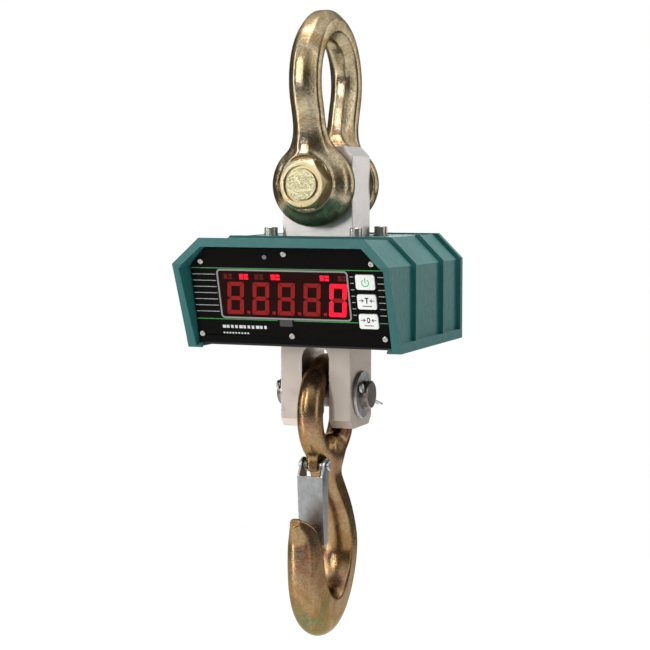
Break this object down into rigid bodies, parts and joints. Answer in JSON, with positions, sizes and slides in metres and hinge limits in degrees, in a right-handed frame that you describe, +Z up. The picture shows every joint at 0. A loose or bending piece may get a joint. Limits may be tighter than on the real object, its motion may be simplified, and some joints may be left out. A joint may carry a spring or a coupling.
{
  "type": "crane scale",
  "caption": "Industrial crane scale with bow shackle, green cast hood, red LED display, three keys and a swinging eye hook with a sprung latch.",
  "frame": {"origin": "inside crown of the shackle's bow, where the scale is hung", "axes": "+Z up along the line of the load; the display faces -Y; +X to the right of a reader facing the display"},
  "size_m": [0.2164, 0.2299, 0.6189],
  "materials": {
    "chromated_steel": "satin",
    "machined_steel": "satin",
    "zinc_plated_steel": "satin",
    "blackened_steel": "satin",
    "green_paint": "satin",
    "black_paint": "satin",
    "black_panel": "gloss",
    "tinted_window": "gloss",
    "pale_print": "matte",
    "led_modules": "satin",
    "white_keys": "matte",
    "sensor_grey": "gloss",
    "black_rubber": "matte",
    "cable_grey": "matte",
    "circuit_board": "satin",
    "black_plastic": "matte",
    "battery_wrap": "satin",
    "gauge_foil": "satin",
    "gauge_disc": "satin"
  },
  "bodies": {
    "shackle": {"shackle_bow": "chromated_steel", "shackle_bolt": "chromated_steel", "shackle_nut": "chromated_steel", "shackle_cotter": "zinc_plated_steel"},
    "scale_body": {"load_cell_block": "machined_steel", "mounting_collar": "machined_steel", "floor_screws": "zinc_plated_steel", "rear_screws": "zinc_plated_steel", "tray_screws": "zinc_plated_steel", "battery_strap": "zinc_plated_steel", "top_screws": "blackened_steel", "panel_screws": "blackened_steel", "hood": "green_paint", "rear_cover": "green_paint", "floor_plate": "black_paint", "front_panel": "black_panel", "display_window": "tinted_window", "ir_window": "tinted_window", "window_trim": "pale_print", "display_digits": "led_modules", "indicator_bar": "led_modules", "light_sensor": "sensor_grey", "top_gasket": "black_rubber", "floor_gasket": "black_rubber", "panel_gasket": "black_rubber", "rear_gasket": "black_rubber", "charging_socket_cap": "black_rubber", "gauge_cable": "cable_grey", "ribbon_cable": "cable_grey", "display_board": "circuit_board", "main_board": "circuit_board", "power_board": "circuit_board", "key_switches": "black_plastic", "board_posts": "black_plastic", "main_board_posts": "black_plastic", "power_board_spacers": "black_plastic", "charging_socket": "black_plastic", "battery_pack": "battery_wrap", "strain_gauges": "gauge_foil", "gauge_covers": "gauge_disc"},
    "pin_body": {"hook_pin": "zinc_plated_steel", "pin_washers": "zinc_plated_steel", "hook_split_pins": "zinc_plated_steel"},
    "hook_body": {"hook": "chromated_steel", "latch_pin": "zinc_plated_steel"},
    "latch_body": {"latch": "zinc_plated_steel", "latch_spring": "zinc_plated_steel"},
    "power_key": {"key_power": "white_keys"},
    "tare_key": {"key_tare": "white_keys"},
    "zero_key": {"key_zero": "white_keys"}
  },
  "joints": [
    {"name": "body_swing", "type": "hinge", "parent": "shackle", "child": "scale_body", "pos_m": [0, 0, -0.1385], "axis": [0, 1, 0], "range_deg": [-105, 105]},
    {"name": "pin_spin", "type": "hinge", "parent": "scale_body", "child": "pin_body", "pos_m": [0, 0, -0.3443], "axis": [1, 0, 0], "continuous": true},
    {"name": "hook_swing", "type": "hinge", "parent": "scale_body", "child": "hook_body", "pos_m": [0, 0, -0.3443], "axis": [1, 0, 0], "range_deg": [-60, 60]},
    {"name": "latch_open", "type": "hinge", "parent": "hook_body", "child": "latch_body", "pos_m": [0, -0.031, -0.4123], "axis": [1, 0, 0], "range_deg": [0, 32], "stiffness_Nm_per_rad": 0.4},
    {"name": "power_press", "type": "slide", "parent": "scale_body", "child": "power_key", "axis": [0, 0.9636, 0.2672], "range_m": [0, 0.0006], "stiffness_N_per_m": 1500},
    {"name": "tare_press", "type": "slide", "parent": "scale_body", "child": "tare_key", "axis": [0, 0.9636, 0.2672], "range_m": [0, 0.0006], "stiffness_N_per_m": 1500},
    {"name": "zero_press", "type": "slide", "parent": "scale_body", "child": "zero_key", "axis": [0, 0.9636, 0.2672], "range_m": [0, 0.0006], "stiffness_N_per_m": 1500}
  ]
}
